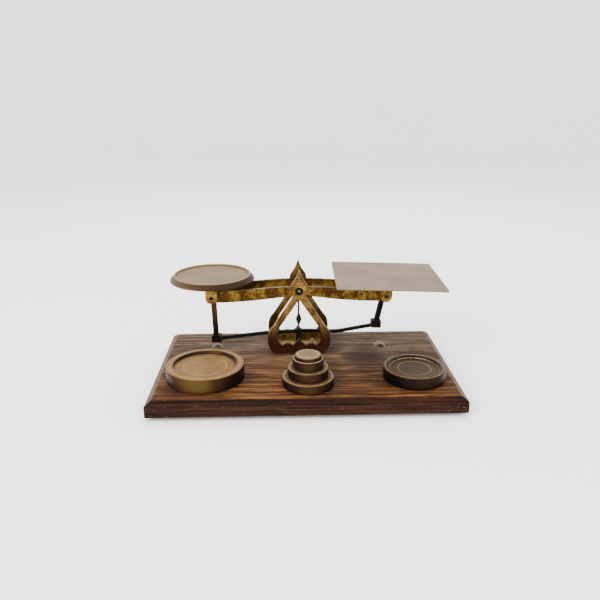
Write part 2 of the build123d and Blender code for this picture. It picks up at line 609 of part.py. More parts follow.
def pan_carrier(side):
    """Strip bent into a stirrup: a bridge under the pan and two pierced cheeks."""
    bridge_low, bridge_top = seat_levels()
    half = CHEEK_HALF_WIDTH
    stirrup = block(-half, half, -CHEEK_OUTER, CHEEK_OUTER, 0, bridge_top)
    stirrup += rod_y(0, 0, half, -CHEEK_OUTER, CHEEK_OUTER)
    corners = stirrup.edges().filter_by(Axis.X).group_by(Axis.Z)[-1]
    stirrup = fillet(corners, BRIDGE_CORNER)
    stirrup -= block(-half, half, -CHEEK_INNER, CHEEK_INNER, -half, bridge_low)
    stirrup -= rod_y(0, 0, END_PIN_RADIUS + RUNNING_GAP, -CHEEK_OUTER, CHEEK_OUTER)
    stirrup -= rod_z(0, 0, LEG_TENON_RADIUS + FIXED_GAP, bridge_low, bridge_top)
    for hole in pan_rivet_holes(bridge_low, bridge_top):
        stirrup -= hole
    return hang(side, stirrup)


def knuckle_roof_height(side):
    """Roof above the knuckle pin: the stay slopes up on the left, its eye rises on the right."""
    room = KNUCKLE_PIN_RADIUS + EYE_WALL + FORK_SIDE_GAP
    return room + (SLOT_HALF_RISE * 2 + SLOT_PLAY if side > 0 else STAY_SLOPE_ROOM)


def pan_leg(side):
    """Leg under the bridge, ending in a fork that takes the stay's eye."""
    bridge_low, bridge_top = seat_levels()
    pin_x, pin_z = pin_from_pivot(side)
    gap = STAY_THICKNESS / 2 + FORK_SIDE_GAP
    reach = KNUCKLE_WIDTH / 2
    roof_low = pin_z + knuckle_roof_height(side)
    inboard = KNUCKLE_LENGTH - KNUCKLE_OUTBOARD
    low = pin_z - KNUCKLE_BELOW_PIN
    ends = sorted((pin_x + side * KNUCKLE_OUTBOARD, pin_x - side * inboard))
    fork = block(*ends, -reach, reach, low, roof_low + KNUCKLE_ROOF)
    fork = fillet(fork.edges().filter_by(Axis.Y), LEG_EDGE)
    fork -= block(*ends, -gap, gap, low, roof_low)
    fork -= rod_y(pin_x, pin_z, KNUCKLE_PIN_RADIUS + FIXED_GAP, -reach, reach)
    bar = leg_bar(pin_x - side * LEG_FOOT_INBOARD, roof_low + KNUCKLE_ROOF / 2, bridge_low)
    tenon = rod_z(0, 0, LEG_TENON_RADIUS, bridge_low, bridge_top)
    return hang(side, fork + bar + tenon)


def leg_bar(foot_x, foot_z, top_z):
    """Flat bar from under the bridge to the fork, cranked below the end pivot."""
    half = LEG_BAR_WIDTH / 2
    right = [(half, top_z), (half, -LEG_CRANK_DROP), (foot_x + half, foot_z)]
    left = [(foot_x - half, foot_z), (-half, -LEG_CRANK_DROP), (-half, top_z)]
    outline = make_face(Polyline(*right, *left, close=True))
    return upright_plate(outline, LEG_BAR_DEPTH / 2, LEG_BAR_DEPTH)


def stay_pin(side):
    x, z = RIGHT_PIN if side > 0 else LEFT_PIN
    reach = KNUCKLE_WIDTH / 2
    return rod_y(x, z, KNUCKLE_PIN_RADIUS, MID_Y - reach, MID_Y + reach)


def pan_seat(side):
    """Disc soldered on the bridge that carries the pan."""
    radius = PAN_SEAT_RADIUS_LEFT if side < 0 else PAN_SEAT_RADIUS_RIGHT
    disc = rod_z(0, 0, radius, SEAT_HEIGHT - PAN_SEAT_THICKNESS, SEAT_HEIGHT)
    for hole in pan_rivet_holes(SEAT_HEIGHT - PAN_SEAT_THICKNESS, SEAT_HEIGHT):
        disc -= hole
    return hang(side, disc)


def pan_rivets(side):
    low = seat_levels()[0]
    top = SEAT_HEIGHT + (PAN_FLOOR_THICKNESS if side < 0 else PLATE_THICKNESS)
    pair = [rod_z(0, y, PAN_RIVET_RADIUS, low, top) for y in (-PAN_RIVET_Y, PAN_RIVET_Y)]
    return Compound([hang(side, rivet) for rivet in pair])


def weights_pan():
    """Spun pan: flat floor, raised lip and a skirt that slopes outward."""
    floor = SEAT_HEIGHT + PAN_FLOOR_THICKNESS
    lip = floor + PAN_LIP_HEIGHT
    hem = SEAT_HEIGHT - PAN_SKIRT_DROP
    inner = PAN_LIP_RADIUS - PAN_LIP_FOOT
    outline = [(0, SEAT_HEIGHT), (inner, SEAT_HEIGHT), (PAN_LIP_RADIUS, lip - PAN_WALL)]
    outline += [(PAN_SKIRT_RADIUS - PAN_WALL, hem), (PAN_SKIRT_RADIUS - PAN_BEAD, hem)]
    outline += [(PAN_SKIRT_RADIUS, hem + PAN_BEAD), (PAN_SKIRT_RADIUS - PAN_BEAD, hem + PAN_HEM_HEIGHT)]
    outline += [(PAN_LIP_RADIUS + PAN_BEAD, lip - PAN_BEAD), (PAN_LIP_RADIUS, lip)]
    outline += [(PAN_LIP_RADIUS - PAN_BEAD, lip), (inner, floor), (0, floor)]
    pan = turned(outline)
    for hole in pan_rivet_holes(SEAT_HEIGHT, floor):
        pan -= hole
    return hang(-1, pan)


def letter_plate():
    outline = RectangleRounded(PLATE_LENGTH, PLATE_DEPTH, PLATE_CORNER)
    outline = Pos(*PLATE_SHIFT, SEAT_HEIGHT) * Rot(0, 0, PLATE_SLEW_DEG) * outline
    plate = extrude(outline, PLATE_THICKNESS)
    for hole in pan_rivet_holes(SEAT_HEIGHT, SEAT_HEIGHT + PLATE_THICKNESS):
        plate -= hole
    return hang(1, plate)


# ---------------------------------------------------------------- stay
def stay_centreline():
    kinks = [(x, STAY_Z + z) for x, z in (STAY_KINK_LEFT, STAY_KINK_CENTRE, STAY_KINK_RIGHT)]
    return [LEFT_PIN, *kinks, RIGHT_PIN]


def stay_edge(lift):
    """Centreline raised by lift, as one soft-cornered line."""
    points = [(x, z + lift) for x, z in stay_centreline()]
    return FilletPolyline(*points, radius=STAY_BEND_RADIUS)


def stay():
    """Thin iron link between the knuckles, with a slotted eye at its right end."""
    upper = stay_edge(STAY_DEPTH / 2)
    lower = stay_edge(-STAY_DEPTH / 2)
    left = Line(upper @ 0, lower @ 0)
    right = Line(upper @ 1, lower @ 1)
    outline = make_face(upper + right + lower + left)
    outline += Pos(0, STAY_Z) * Circle(STAY_BOSS_RADIUS)
    outline += Pos(*LEFT_PIN) * Circle(KNUCKLE_PIN_RADIUS + EYE_WALL)
    eye = Pos(RIGHT_PIN[0] + SLOT_SHIFT, RIGHT_PIN[1])
    span = SLOT_HALF_TRAVEL + SLOT_PLAY - SLOT_HALF_RISE
    outline += eye * eye_shape(SLOT_HALF_HEIGHT + SLOT_WALL, span)
    outline -= eye * eye_shape(SLOT_HALF_HEIGHT, span)
    outline -= Pos(0, STAY_Z) * Circle(STAY_PIN_RADIUS + RUNNING_GAP)
    outline -= Pos(*LEFT_PIN) * Circle(KNUCKLE_PIN_RADIUS + RUNNING_GAP)
    return upright_plate(outline, MID_Y + STAY_THICKNESS / 2, STAY_THICKNESS)


def eye_shape(half_height, half_centres):
    """Round-ended slot, with the given half distance between its end centres."""
    return SlotCenterToCenter(2 * half_centres, 2 * half_height)


# ---------------------------------------------------------------- weights
def weight_places():
    """Each weight's centre and the height that it stands at."""
    end = BOARD_LENGTH / 2
    front = BOARD_DEPTH / 2
    pound = WEIGHTS["weight_16oz"][0]
    half_pound = WEIGHTS["weight_8oz"][0]
    level = BOARD_TOP + RESTING_GAP
    places = {}
    x = -(end - POUND_MARGIN_END - pound)
    y = -(front - POUND_MARGIN_FRONT - pound)
    places["weight_16oz"] = (x, y, level)
    x = end - HALF_POUND_MARGIN_END - half_pound
    y = -(front - HALF_POUND_MARGIN_FRONT - half_pound)
    places["weight_8oz"] = (x, y, level)
    stack_y = -(front - STACK_MARGIN_FRONT - WEIGHTS["weight_4oz"][0])
    for name in ("weight_4oz", "weight_2oz", "weight_1oz", "weight_half_oz"):
        places[name] = (STACK_X, stack_y, level)
        height, dish = WEIGHTS[name][1], WEIGHTS[name][3]
        level += height - dish + RESTING_GAP
    return places


def disc_weight(name):
    """Turned disc with a bevelled rim, dished on top or hollowed beneath."""
    radius, height, rim, dish, hollow_radius, hollow_depth = WEIGHTS[name]
    rim_top = (radius - WEIGHT_BEVEL, height)
    outline = [(radius - WEIGHT_FOOT_BREAK, 0), (radius, WEIGHT_FOOT_BREAK)]
    outline += [(radius, height - WEIGHT_BEVEL), rim_top]
    if dish:
        outline += [(radius - rim, height), (radius - rim - dish * DISH_SLOPE, height - dish)]
    outline += [(0, height - dish)]
    if hollow_depth:
        outline += [(0, hollow_depth), (hollow_radius, hollow_depth), (hollow_radius, 0)]
    else:
        outline += [(0, 0)]
    return Pos(*weight_places()[name]) * turned(outline)


# ---------------------------------------------------------------- nodes
MECHANISM = {
    "stop_stud_left": stop_stud("left"),
    "stop_stud_right": stop_stud("right"),
    "front_frame": lyre_frame(-1),
    "rear_frame": lyre_frame(1),
    "pivot_bushes": pivot_bushes(),
    "floor_plate": floor_plate(),
    "frame_rivets": frame_rivets(),
    "floor_screws": floor_screws(),
    "stay_post": stay_post(),
    "stay_post_pin": stay_post_pin(),
    "beam_front_bar": beam_bar(-1),
    "beam_rear_bar": beam_bar(1),
    "beam_arbor": beam_arbor(),
    "beam_spacers": beam_spacers(),
    "beam_pins_left": beam_pins(-1),
    "beam_pins_right": beam_pins(1),
    "pointer": pointer(),
    "pan_carrier_left": pan_carrier(-1),
    "pan_carrier_right": pan_carrier(1),
    "leg_left": pan_leg(-1),
    "leg_right": pan_leg(1),
    "stay_pin_left": stay_pin(-1),
    "stay_pin_right": stay_pin(1),
    "pan_seat_left": pan_seat(-1),
    "pan_seat_right": pan_seat(1),
    "pan_rivets_left": pan_rivets(-1),
    "pan_rivets_right": pan_rivets(1),
    "weights_pan": weights_pan(),
    "letter_plate": letter_plate(),
    "stay": stay(),
}
NODES = {
    "oak_base": oak_base(),
    "base_feet": base_feet(),
    "foot_screws": foot_screws(),
}
# The mechanism is drawn about x = 0, and stands a little left of the board's middle.
NODES.update({name: Pos(MID_X, 0, 0) * piece for name, piece in MECHANISM.items()})
NODES.update({name: disc_weight(name) for name in WEIGHTS})

os.makedirs("parts", exist_ok=True)
for node, shape in NODES.items():
    export_step(shape, f"parts/{node}.step")
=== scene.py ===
from math import cos, pi, radians, sin

import bmesh
import bpy
from mathutils import Matrix, Vector


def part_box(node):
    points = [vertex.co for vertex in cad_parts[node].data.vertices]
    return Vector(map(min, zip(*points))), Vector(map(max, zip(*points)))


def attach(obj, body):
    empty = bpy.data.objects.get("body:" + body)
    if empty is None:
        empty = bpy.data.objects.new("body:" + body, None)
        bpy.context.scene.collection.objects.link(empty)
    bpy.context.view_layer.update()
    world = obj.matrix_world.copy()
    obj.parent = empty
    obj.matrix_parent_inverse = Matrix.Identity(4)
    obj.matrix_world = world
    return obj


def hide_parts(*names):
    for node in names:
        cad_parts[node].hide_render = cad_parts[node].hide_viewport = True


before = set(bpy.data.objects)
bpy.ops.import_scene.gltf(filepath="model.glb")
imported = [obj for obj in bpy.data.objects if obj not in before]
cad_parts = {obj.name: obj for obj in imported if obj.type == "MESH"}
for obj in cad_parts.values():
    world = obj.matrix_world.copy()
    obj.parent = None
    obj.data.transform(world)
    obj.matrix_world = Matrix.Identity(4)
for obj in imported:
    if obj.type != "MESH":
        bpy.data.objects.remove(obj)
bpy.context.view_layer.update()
MM = 0.001


# ---------------------------------------------------------------- oak board
# A slab of open-grained oak, planed flat, with a wide bevel run round its top edge.
# Its old varnish is worn thin and rubbed pale along the corners. The grain is painted
# grey towards the back as a painted sheen and warm at the front; the front bevel is
# dark, and the other three bevels are painted pale as a highlight.
class Tone:
    """One shader socket. Sums written with it add Math nodes."""

    def __init__(self, tree, socket):
        self.tree = tree
        self.socket = socket

    def node(self, kind, settings=None, inputs=None, output=0):
        """Any node: its settings first, then the values or links of its sockets."""
        made = self.tree.nodes.new(kind)
        for name, value in (settings or {}).items():
            setattr(made, name, value)
        for name, value in (inputs or {}).items():
            if isinstance(value, Tone):
                self.tree.links.new(value.socket, made.inputs[name])
            else:
                made.inputs[name].default_value = value
        return Tone(self.tree, made.outputs[output]) if made.outputs else None

    def maths(self, operation, first, second=0.0):
        return self.node("ShaderNodeMath", {"operation": operation}, {0: first, 1: second})

    def __add__(self, other):
        return self.maths("ADD", self, other)

    __radd__ = __add__

    def __sub__(self, other):
        return self.maths("SUBTRACT", self, other)

    def __rsub__(self, other):
        return self.maths("SUBTRACT", other, self)

    def __mul__(self, other):
        return self.maths("MULTIPLY", self, other)

    __rmul__ = __mul__

    def sine(self):
        return self.maths("SINE", self)

    def larger(self, other):
        return self.maths("MAXIMUM", self, other)

    def within(self, low, high):
        """0 at low, 1 at high, with soft ends."""
        settings = {"interpolation_type": "SMOOTHSTEP"}
        span = {"Value": self, "From Min": low, "From Max": high}
        return self.node("ShaderNodeMapRange", settings, span)

    def ring(self, middle, half_width):
        """1 where the value is close to middle, 0 elsewhere."""
        return 1 - self.maths("ABSOLUTE", self - middle).within(half_width * 0.4, half_width)

    def blend(self, low, high):
        """Colour low where this is 0, and high where it is 1."""
        low, high = [(*c, 1.0) if isinstance(c, tuple) else c for c in (low, high)]
        settings = {"data_type": "RGBA", "clamp_factor": True}
        return self.node("ShaderNodeMix", settings, {0: self, 6: low, 7: high}, 2)

    def placed(self, centre=(0, 0, 0), stretch=(1, 1, 1)):
        """Coordinates measured from centre and stretched."""
        moved = self.node("ShaderNodeVectorMath", {"operation": "SUBTRACT"}, {0: self, 1: centre})
        return self.node("ShaderNodeVectorMath", {"operation": "MULTIPLY"}, {0: moved, 1: stretch})

    def length(self):
        return self.node("ShaderNodeVectorMath", {"operation": "LENGTH"}, {0: self}, "Value")

    def noise(self, scale, detail=3.0, roughness=0.55, distortion=0.0):
        sizes = {"Vector": self, "Scale": scale, "Detail": detail}
        sizes.update({"Roughness": roughness, "Distortion": distortion})
        return self.node("ShaderNodeTexNoise", None, sizes)

    def axis(self, name):
        return self.node("ShaderNodeSeparateXYZ", None, {0: self}, name)


def new_finish(name):
    """A material whose nodes are all cleared; gives its coordinates as a Tone."""
    material = bpy.data.materials.new(name)
    material.use_nodes = True
    material.node_tree.nodes.clear()
    start = Tone(material.node_tree, None)
    return material, start.node("ShaderNodeTexCoord", None, None, "Object")


def surface(place, colour, roughness, metallic=0.0, relief=None, depth=0.1, specular=0.5, glow=0.0):
    """Joins the colour, gloss, relief with its depth in mm, and white glow to the output."""
    sockets = {"Base Color": colour, "Roughness": roughness, "Metallic": metallic}
    sockets["Specular IOR Level"] = specular
    sockets["Emission Color"] = (1.0, 1.0, 1.0, 1.0)
    sockets["Emission Strength"] = glow
    if relief is not None:
        bump = {"Height": relief, "Distance": depth * MM}
        sockets["Normal"] = place.node("ShaderNodeBump", None, bump)
    shader = place.node("ShaderNodeBsdfPrincipled", None, sockets)
    place.node("ShaderNodeOutputMaterial", None, {"Surface": shader})


def rubbed_edges(place, reach):
    """1 on corners that stand out or in, within reach in metres."""
    rounded = place.node("ShaderNodeBevel", {"samples": 6}, {"Radius": reach})
    true = place.node("ShaderNodeNewGeometry", None, None, "Normal")
    settings = {"operation": "DOT_PRODUCT"}
    same = place.node("ShaderNodeVectorMath", settings, {0: rounded, 1: true}, "Value")
    return (1 - same).within(0.02, 0.22)


def from_axis(spot):
    """Distance from the upright axis through the spot's centre."""
    return spot.placed(stretch=(1, 1, 0)).length()


def facing(place, direction):
    """How squarely the surface faces a direction: 1 straight on, -1 turned away."""
    normal = place.node("ShaderNodeTexCoord", None, None, "Normal")
    settings = {"operation": "DOT_PRODUCT"}
    return place.node("ShaderNodeVectorMath", settings, {0: normal, 1: direction}, "Value")


def smooth_object(name, bm, material):
    """Turns the bmesh into an object of one material."""
    mesh = bpy.data.meshes.new(name)
    bm.to_mesh(mesh)
    bm.free()
    for face in mesh.polygons:
        face.use_smooth = True
    mesh.materials.append(material)
    made = bpy.data.objects.new(name, mesh)
    bpy.context.scene.collection.objects.link(made)
    return made


def finished(name, bm, body, material, stands_for):
    """Makes the mesh a piece that rides on its body in place of its CAD nodes."""
    piece = smooth_object(name, bm, material)
    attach(piece, body)
    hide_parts(*stands_for)
    return piece


def soften(piece, width, segments=2, corner_deg=28):
    """Rounds the piece's corners with a Bevel modifier."""
    rounding = piece.modifiers.new("rounded_corners", "BEVEL")
    rounding.width = width
    rounding.segments = segments
    rounding.limit_method = "ANGLE"
    rounding.angle_limit = radians(corner_deg)
    rounding.harden_normals = True


def raised(made):
    """The new vertices of an extrusion."""
    return [item for item in made["geom"] if isinstance(item, bmesh.types.BMVert)]


board_low, board_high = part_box("oak_base")
BOARD_TOP = board_high.z
BEVEL_RUN = 7.0 * MM
BEVEL_DROP = 4.8 * MM

# Grain runs along X: how often it changes in a metre along the board and across it.
FIGURE_GRAIN = (9, 300, 300)
STREAK_GRAIN = (24, 760, 760)
PORE_GRAIN = (60, 1500, 1500)

# Colours of the dark and the light grain. The grey pair at the back is a painted
# sheen, and the pale bevel pair is a painted highlight.
BACK_SHEEN_OAK = ((0.046, 0.028, 0.016), (0.170, 0.110, 0.064))
WARM_OAK = ((0.032, 0.010, 0.0035), (0.200, 0.080, 0.023))
DARK_BEVEL = ((0.003, 0.0011, 0.0007), (0.017, 0.0044, 0.0018))
HIGHLIT_BEVEL = ((0.065, 0.041, 0.027), (0.140, 0.098, 0.068))
LOW_OAK = ((0.034, 0.0125, 0.0062), (0.008, 0.003, 0.0018))

# Dark patches: middle and reach in mm, and how dark each one is. The first, under
# the right stud, is a painted shadow of the right leg; the others only darken the board.
DARK_PATCHES = [
    ((62, 8), (24, 34), 0.75),
    ((-34, 22), (34, 16), 0.5),
    ((-118, -62), (26, 22), 0.7),
    ((30, 60), (26, 12), 0.4),
]

oak, place = new_finish("worn_varnished_oak")
height = place.axis("Z")
wander = place.placed(stretch=(6, 16, 16)).noise(1.0, 2.0)
figure = place.placed(stretch=FIGURE_GRAIN).noise(1.0, 6.0, 0.65, 0.6)
streaks = place.placed(stretch=STREAK_GRAIN).noise(1.0, 4.0, 0.6)
pores = place.placed(stretch=PORE_GRAIN).noise(1.0, 2.0, 0.6).within(0.55, 0.68)
# Painted sheen: the grain turns grey towards the back of the board and warm towards the front.
front = (place.axis("Y") + (wander - 0.5) * 70 * MM).within(45 * MM, -55 * MM)
grain = figure.within(0.36, 0.64)
colour = front.blend(grain.blend(*BACK_SHEEN_OAK), grain.blend(*WARM_OAK))
colour = (streaks.within(0.46, 0.60) * 0.85).blend(colour, (0.012, 0.0045, 0.0025))
colour = (pores * 0.55).blend(colour, (0.008, 0.004, 0.002))
old_dirt = place.placed(stretch=(15, 24, 24)).noise(1.0, 4.0, 0.6)
colour = (old_dirt.within(0.47, 0.66) * 0.62).blend(colour, (0.014, 0.007, 0.004))
for middle, reach, strength in DARK_PATCHES:
    middle = (middle[0] * MM, middle[1] * MM, 0)
    spot = place.placed(middle, (1 / (reach[0] * MM), 1 / (reach[1] * MM), 1))
    dark_patch = (from_axis(spot) + (old_dirt - 0.5) * 1.6).within(1.15, 0.35)
    colour = (dark_patch * strength).blend(colour, (0.018, 0.009, 0.005))

on_bevel = height.within(BOARD_TOP - 0.3 * MM, BOARD_TOP - 1.4 * MM)
# The bevels facing left, right and back are painted pale as a highlight; the front bevel is dark.
to_front = facing(place, (0, -1, 0)).within(0.10, 0.35)
bevel_highlight = figure.within(0.30, 0.70).blend(*HIGHLIT_BEVEL)
bevel_dark = figure.within(0.38, 0.62).blend(*DARK_BEVEL)
colour = (on_bevel * 0.92).blend(colour, to_front.blend(bevel_highlight, bevel_dark))
on_side = height.within(BOARD_TOP - 4.4 * MM, BOARD_TOP - 6.0 * MM)
colour = (on_side * 0.9).blend(colour, streaks.within(0.35, 0.65).blend(*LOW_OAK))
scuffs = place.placed(stretch=(90, 260, 260)).noise(1.0, 5.0, 0.7)
rubbed = rubbed_edges(place, 1.3 * MM) * scuffs.within(0.30, 0.56)
colour = (rubbed * 0.75).blend(colour, (0.24, 0.125, 0.060))
dents = place.placed(stretch=(220, 420, 420)).noise(1.0, 3.0, 0.7)
chips = on_bevel * dents.within(0.64, 0.70)
colour = (chips * 0.5).blend(colour, (0.13, 0.075, 0.03))
gloss = 0.56 + streaks * 0.2 + rubbed * 0.1
surface(place, colour, gloss, 0.0, figure * 0.35 - pores * 0.5 - streaks * 0.35, 0.22, 0.06)

bm = bmesh.new()
bmesh.ops.create_cube(bm, size=1.0)
slab = board_high - board_low
slab.z -= BEVEL_DROP
bmesh.ops.scale(bm, vec=slab, verts=bm.verts)
bmesh.ops.translate(bm, vec=(0, 0, board_low.z + slab.z / 2), verts=bm.verts)
top_face = max(bm.faces, key=lambda face: face.calc_center_median().z)
risen = raised(bmesh.ops.extrude_face_region(bm, geom=[top_face]))
bmesh.ops.delete(bm, geom=[top_face], context="FACES_ONLY")
bmesh.ops.translate(bm, vec=(0, 0, BEVEL_DROP), verts=risen)
narrower = (1 - 2 * BEVEL_RUN / slab.x, 1 - 2 * BEVEL_RUN / slab.y, 1.0)
bmesh.ops.scale(bm, vec=narrower, verts=risen)
bmesh.ops.recalc_face_normals(bm, faces=bm.faces)
board = finished("oak_board", bm, "root", oak, ["oak_base"])
soften(board, 0.7 * MM, 3, 15)


# ---------------------------------------------------------------- feet
# Four little turned feet of black-stained wood, one under each corner, each held
# by a countersunk steel screw whose head lies inside its recess.
def spun(outline, centres, steps):
    """Lathe work: an outline of (radius, height) in mm, spun about each centre."""
    bm = bmesh.new()
    for centre in centres:
        spot = Vector(centre)
        ring = [bm.verts.new(spot + Vector((r * MM, 0, z * MM))) for r, z in outline]
        edges = [bm.edges.new(pair) for pair in zip(ring, ring[1:])]
        bmesh.ops.spin(bm, geom=ring + edges, cent=spot, axis=(0, 0, 1), dvec=(0, 0, 0),
                       angle=2 * pi, steps=steps, use_merge=True)
    bmesh.ops.remove_doubles(bm, verts=bm.verts, dist=0.002 * MM)
    bmesh.ops.recalc_face_normals(bm, faces=bm.faces)
    return bm


def dress(material, *nodes):
    """Gives CAD pieces their finish."""
    for node in nodes:
        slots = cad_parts[node].data.materials
        slots.clear()
        slots.append(material)


def steel_finish(name, clean, stained, gloss):
    """Drawn steel with fine scratches and a little staining."""
    steel, place = new_finish(name)
    stain = place.placed().noise(420.0, 4.0, 0.6)
    scratches = place.placed(stretch=(2600, 500, 500)).noise(1.0, 2.0)
    colour = stain.within(0.4, 0.7).blend(clean, stained)
    surface(place, colour, gloss + stain * 0.25, 0.95, scratches + stain, 0.03)
    return steel


black_wood, place = new_finish("black_stained_wood")
grain = place.placed(stretch=(300, 300, 60)).noise(1.0, 4.0, 0.6)
colour = grain.blend((0.010, 0.007, 0.005), (0.035, 0.022, 0.015))
surface(place, colour, 0.4 + grain * 0.3, 0.0, grain, 0.1, 0.2)

FOOT_RADIUS = 9.0
SCREW_RECESS = 3.25
foot_outline = [(SCREW_RECESS, 2.2), (SCREW_RECESS, 0), (7.4, 0), (8.2, 0.7), (8.9, 1.9)]
foot_outline += [(FOOT_RADIUS, 2.8), (8.7, 3.4), (8.9, 4.0), (SCREW_RECESS, 4.0)]
feet_low, feet_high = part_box("base_feet")
foot_x = feet_high.x - FOOT_RADIUS * MM
foot_y = feet_high.y - FOOT_RADIUS * MM
corners = [(sx * foot_x, sy * foot_y, 0) for sx in (-1, 1) for sy in (-1, 1)]
bm = spun(foot_outline, corners, 48)
feet = finished("turned_feet", bm, "root", black_wood, ["base_feet"])
soften(feet, 0.25 * MM)

screw_steel = steel_finish("dull_screw_steel", (0.42, 0.40, 0.37), (0.16, 0.11, 0.07), 0.3)
dress(screw_steel, "foot_screws")


# ---------------------------------------------------------------- stop studs
# Two domed nails with a thin nickel skin, driven into the board under the knuckles so
# that the legs come down on them. The skin has worn through to dark metal on the crown
# of the left one; the dark patch at the front of the right one is painted shade.
# Centre of each stud's dark patch in mm from its middle: wear on the left one, painted shade on the
# right one.
STUD_WEAR_AND_SHADE = {"left": (0.8, -1.2), "right": (0.6, -5.4)}
stud_outline = [(0, 2.6), (1.6, 2.54), (3.1, 2.2), (4.5, 1.55), (5.6, 0.72), (6.15, 0.2)]
stud_outline += [(6.3, 0.0), (0, 0.0)]
for side, (patch_x, patch_y) in STUD_WEAR_AND_SHADE.items():
    low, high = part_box(f"stop_stud_{side}")
    centre = Vector(((low.x + high.x) / 2, (low.y + high.y) / 2, BOARD_TOP))
    nickel, place = new_finish(f"nickel_worn_and_shaded_{side}")
    radius = from_axis(place.placed(centre + Vector((patch_x, patch_y, 0)) * MM))
    stain = place.placed().noise(700.0, 4.0, 0.6)
    wear_and_shade = 1 - (radius + stain * 1.6 * MM).within(2.6 * MM, 4.6 * MM)
    colour = stain.blend((0.060, 0.041, 0.026), (0.155, 0.114, 0.078))
    colour = (wear_and_shade * 0.9).blend(colour, (0.034, 0.017, 0.009))
    surface(place, colour, 0.3 + stain * 0.25, 0.6, stain, 0.05, 0.15)
    bm = spun(stud_outline, [centre], 64)
    finished(f"domed_stud_{side}", bm, "root", nickel, [f"stop_stud_{side}"])


# ---------------------------------------------------------------- lyre frames
# The pedestal is a pair of cast brass frames shaped like a lyre, riveted to a bent
# floor plate that two screws hold to the board. Their lacquer is golden round the boss,
# their colour turns dark and reddish towards the bottom, and the filed corners are
# rubbed bright.
RUBBED_BRASS = (0.34, 0.21, 0.065)


def old_brass(name, patch, gold, brown, dark, tarnish=(0.36, 0.60), foot=None):
    """Lacquered brass gone brown in patches; foot is (from z, to z, colour low down)."""
    brass, place = new_finish(name)
    patches = place.placed().noise(patch, 6.0, 0.62, 0.4)
    specks = place.placed().noise(patch * 8, 4.0, 0.65)
    fine = place.placed().noise(patch * 36, 3.0, 0.6)
    colour = (patches * 0.6 + specks * 0.4).within(*tarnish).blend(gold, brown)
    spots = (patches * 0.35 + specks * 0.65).within(0.52, 0.64)
    colour = (spots * 0.8).blend(colour, dark)
    shine = 0.92 - spots * 0.5
    if foot:
        low, high, foot_colour = foot
        depth = (place.axis("Z") + (patches - 0.5) * 14 * MM).within(high, low)
        colour = (depth * 0.93).blend(colour, foot_colour)
        shine = shine - depth * 0.35
    rubbed = rubbed_edges(place, 0.4 * MM) * specks.within(0.48, 0.62)
    colour = (rubbed * 0.4).blend(colour, RUBBED_BRASS)
    roughness = 0.34 + patches * 0.2 + spots * 0.15
    surface(place, colour, roughness, shine, fine * 0.5 + specks + spots * 0.8, 0.12, 0.08)
    return brass


dark_red_low_down = (BOARD_TOP + 14 * MM, BOARD_TOP + 38 * MM, (0.026, 0.006, 0.004))
frame_brass = old_brass("lyre_frame_brass", 95.0, (0.270, 0.160, 0.036),
                        (0.074, 0.034, 0.009), (0.016, 0.007, 0.003), (0.36, 0.58), dark_red_low_down)
dress(frame_brass, "front_frame", "rear_frame", "frame_rivets")
floor_brass = old_brass("floor_plate_brass", 120.0, (0.30, 0.19, 0.055),
                        (0.11, 0.06, 0.018), (0.03, 0.014, 0.006))
dress(floor_brass, "floor_plate", "floor_screws")


# ---------------------------------------------------------------- beam
# Two bowed brass bars with spacers between them, and a brass stirrup at each end. The
# lacquer is mottled gold and olive. The beam turns on a steel arbor in blued bushes,
# and every pivot pin of the scale is blued too. The bushes and pins are made nearly
# black as painted shade in their holes, and each end of the arbor has a painted glint
# in its middle.
bar_brass = old_brass("beam_bar_brass", 70.0, (0.210, 0.120, 0.019),
                      (0.048, 0.022, 0.0045), (0.009, 0.0045, 0.0025), (0.36, 0.54))
dress(bar_brass, "beam_front_bar", "beam_rear_bar", "beam_spacers")
stirrup_brass = old_brass("stirrup_brass", 110.0, (0.27, 0.160, 0.030),
                          (0.085, 0.042, 0.009), (0.016, 0.008, 0.004))
dress(stirrup_brass, "pan_carrier_left", "pan_carrier_right", "pan_seat_left", "pan_seat_right")

# Blued steel made nearly black: partly the steel's own colour, partly painted shade in the holes.
blued_steel_and_shade = steel_finish("blued_steel_and_shade", (0.016, 0.012, 0.010), (0.006, 0.004, 0.003), 0.35)
dress(blued_steel_and_shade, "pivot_bushes", "beam_pins_left", "beam_pins_right")
dress(blued_steel_and_shade, "stay_post_pin", "stay_pin_left", "stay_pin_right")

low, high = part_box("beam_arbor")
arbor_steel, place = new_finish("arbor_steel")
radius = place.placed((low + high) / 2, (1, 0, 1)).length()
grime = place.placed().noise(900.0, 4.0, 0.6)
# Painted glint: bright steel within 0.4 mm of the axis, which shows as a dot in the middle of each
# end; dark steel further out.
colour = radius.within(0.4 * MM, 0.9 * MM).blend((0.50, 0.45, 0.38), (0.020, 0.014, 0.010))
surface(place, colour, 0.25 + grime * 0.2, 0.8, grime, 0.03)
dress(arbor_steel, "beam_arbor")


